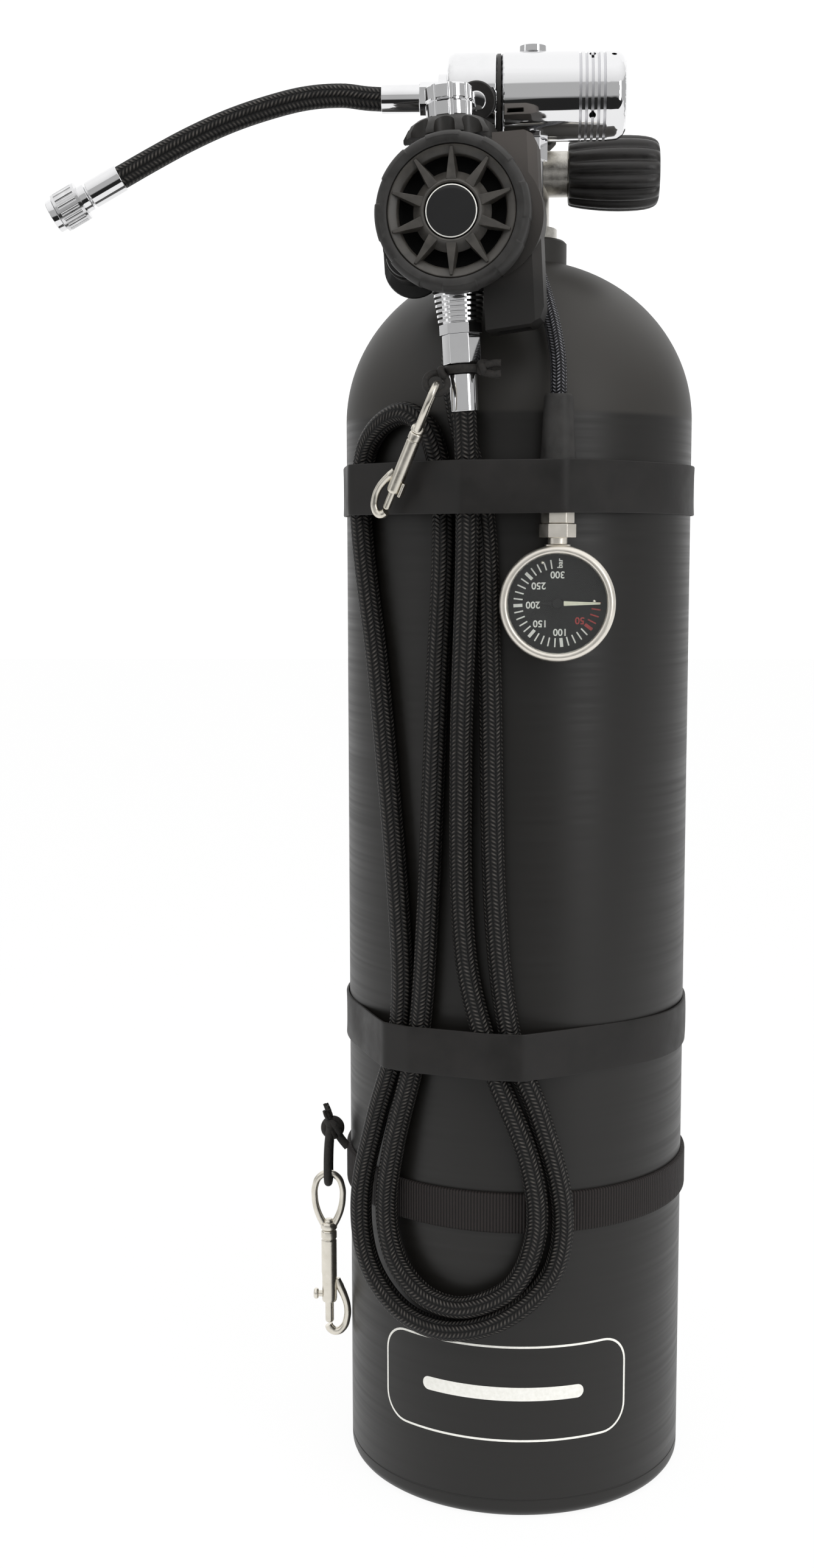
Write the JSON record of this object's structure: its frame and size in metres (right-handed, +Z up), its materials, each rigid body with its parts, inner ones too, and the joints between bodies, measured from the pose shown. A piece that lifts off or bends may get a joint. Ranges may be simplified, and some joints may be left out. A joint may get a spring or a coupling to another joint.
{
  "type": "stage air cylinder pack",
  "caption": "Upright black air cylinder with valve, two-stage regulator, long hose stowed under rubber bands, pressure gauge, inflator hose and bolt snaps.",
  "frame": {"origin": "centre of the cylinder's flat base, on the floor", "axes": "+Z up the cylinder's axis, -Y towards the side with the gauge and second stage, +X towards the valve knob"},
  "size_m": [0.3173, 0.2211, 0.7178],
  "materials": {
    "black_aluminium": "satin black",
    "chrome": "polished",
    "satin_chrome": "bead-blasted",
    "steel": "polished",
    "black_rubber": "matte",
    "soft_black": "smooth silicone",
    "black_plastic": "matte",
    "gloss_black": "gloss",
    "braid": "woven nylon braid",
    "webbing": "ribbed weave",
    "cord": "braided",
    "glass": "clear",
    "dial": "printed",
    "needle": "matte",
    "brass": "plain"
  },
  "bodies": {
    "pack": {"cylinder_shell": "black_aluminium", "neck_oring": "soft_black", "valve_body": "satin_chrome", "dip_tube": "brass", "valve_bonnet": "satin_chrome", "joint_screw": "chrome", "joint_oring": "soft_black", "first_stage_body": "chrome", "first_stage_turret": "chrome", "turret_seal": "black_plastic", "high_pressure_plug": "chrome", "low_pressure_plug": "chrome", "long_hose_fitting": "chrome", "gauge_hose_fitting": "chrome", "inflator_hose_fitting": "chrome", "stage_hose_fitting": "chrome", "long_hose": "braid", "gauge_hose": "braid", "inflator_hose": "braid", "stage_case": "black_plastic", "stage_barrel": "chrome", "diaphragm": "soft_black", "front_grille": "black_plastic", "front_ring": "black_rubber", "exhaust_valve": "soft_black", "exhaust_tee": "black_plastic", "mouthpiece": "soft_black", "mouthpiece_tie": "black_plastic", "hose_protector": "black_rubber", "gauge_swivel": "chrome", "upper_band": "black_rubber", "lower_band": "black_rubber", "webbing_strap": "webbing", "lower_tie": "cord", "upper_tie": "cord", "upper_snap_eye": "steel", "coupler_body": "chrome"},
    "hand_knob": {"valve_spindle": "brass", "valve_knob": "black_rubber", "knob_nut": "steel"},
    "seat": {"seat_plug": "brass"},
    "wheel": {"joint_wheel": "black_plastic"},
    "purge": {"purge_button": "gloss_black"},
    "lever": {"demand_lever": "steel"},
    "poppet": {"demand_poppet": "brass"},
    "adjuster": {"adjuster_knob": "chrome"},
    "collar": {"flow_collar": "black_plastic"},
    "gauge": {"gauge_stem": "chrome", "gauge_case": "steel", "gauge_bezel": "steel", "gauge_lens": "glass", "gauge_dial": "dial", "pressure_tube": "brass"},
    "needle": {"gauge_needle": "needle"},
    "lower_eye": {"lower_snap_eye": "steel"},
    "lower_hook": {"lower_snap_hook": "steel"},
    "lower_bolt": {"lower_snap_bolt": "steel"},
    "upper_hook": {"upper_snap_hook": "steel"},
    "upper_bolt": {"upper_snap_bolt": "steel"},
    "sleeve": {"coupler_sleeve": "chrome"}
  },
  "joints": [
    {"name": "valve_turn", "type": "hinge", "parent": "pack", "child": "hand_knob", "pos_m": [0.047, 0, 0.6715], "axis": [1, 0, 0], "range_deg": [0, 720]},
    {"name": "seat_lift", "type": "slide", "parent": "pack", "child": "seat", "axis": [1, 0, 0], "range_m": [0, 0.0031]},
    {"name": "wheel_turn", "type": "hinge", "parent": "pack", "child": "wheel", "pos_m": [0, -0.035, 0.695], "axis": [0, -1, 0], "range_deg": [0, 180]},
    {"name": "purge_press", "type": "slide", "parent": "pack", "child": "purge", "axis": [0.1044, 0.9945, 0.0055], "range_m": [0, 0.004], "stiffness_N_per_m": 2000, "springref_m": -0.002, "deforming": ["diaphragm"]},
    {"name": "lever_swing", "type": "hinge", "parent": "pack", "child": "lever", "pos_m": [-0.03131, -0.11214, 0.65071], "axis": [0.9932, -0.1045, 0.052], "range_deg": [0, 13]},
    {"name": "poppet_pull", "type": "slide", "parent": "pack", "child": "poppet", "axis": [-0.0523, 0, 0.9986], "range_m": [0, 0.001]},
    {"name": "adjuster_turn", "type": "hinge", "parent": "pack", "child": "adjuster", "pos_m": [-0.03192, -0.101, 0.68473], "axis": [-0.0523, 0, 0.9986], "range_deg": [-360, 360]},
    {"name": "collar_turn", "type": "hinge", "parent": "pack", "child": "collar", "pos_m": [-0.03135, -0.101, 0.67374], "axis": [-0.0523, 0, 0.9986], "range_deg": [0, 90]},
    {"name": "gauge_turn", "type": "hinge", "parent": "pack", "child": "gauge", "pos_m": [0.0185, -0.098, 0.493], "axis": [0, 0, 1], "range_deg": [0, 20]},
    {"name": "needle_sweep", "type": "hinge", "parent": "gauge", "child": "needle", "pos_m": [0.0185, -0.098, 0.459], "axis": [0, 1, 0], "range_deg": [0, 270]},
    {"name": "lower_swing", "type": "hinge", "parent": "pack", "child": "lower_eye", "pos_m": [-0.0995, -0.012, 0.148], "axis": [0, 1, 0], "range_deg": [0, 30]},
    {"name": "lower_swivel", "type": "hinge", "parent": "lower_eye", "child": "lower_hook", "pos_m": [-0.0995, -0.012, 0.1215], "axis": [0, 0, 1], "continuous": true},
    {"name": "lower_bolt_pull", "type": "slide", "parent": "lower_hook", "child": "lower_bolt", "axis": [0, 0, 1], "range_m": [0, 0.01], "stiffness_N_per_m": 400, "springref_m": -0.006},
    {"name": "upper_swivel", "type": "hinge", "parent": "pack", "child": "upper_hook", "pos_m": [-0.0467, -0.101, 0.5378], "axis": [0.3822, -0.342, 0.8585], "range_deg": [-60, 180]},
    {"name": "upper_bolt_pull", "type": "slide", "parent": "upper_hook", "child": "upper_bolt", "axis": [0.3822, -0.342, 0.8585], "range_m": [0, 0.0075], "stiffness_N_per_m": 400, "springref_m": -0.005},
    {"name": "sleeve_pull", "type": "slide", "parent": "pack", "child": "sleeve", "axis": [0.878, 0, 0.4787], "range_m": [0, 0.0035], "stiffness_N_per_m": 1500, "springref_m": -0.004}
  ],
  "couplings": [
    {"joint": "seat_lift", "follows": "valve_turn", "m_per_rad": 0.00023873},
    {"joint": "lever_swing", "follows": "purge_press", "rad_per_m": 54.5},
    {"joint": "poppet_pull", "follows": "purge_press", "ratio": 0.2}
  ]
}
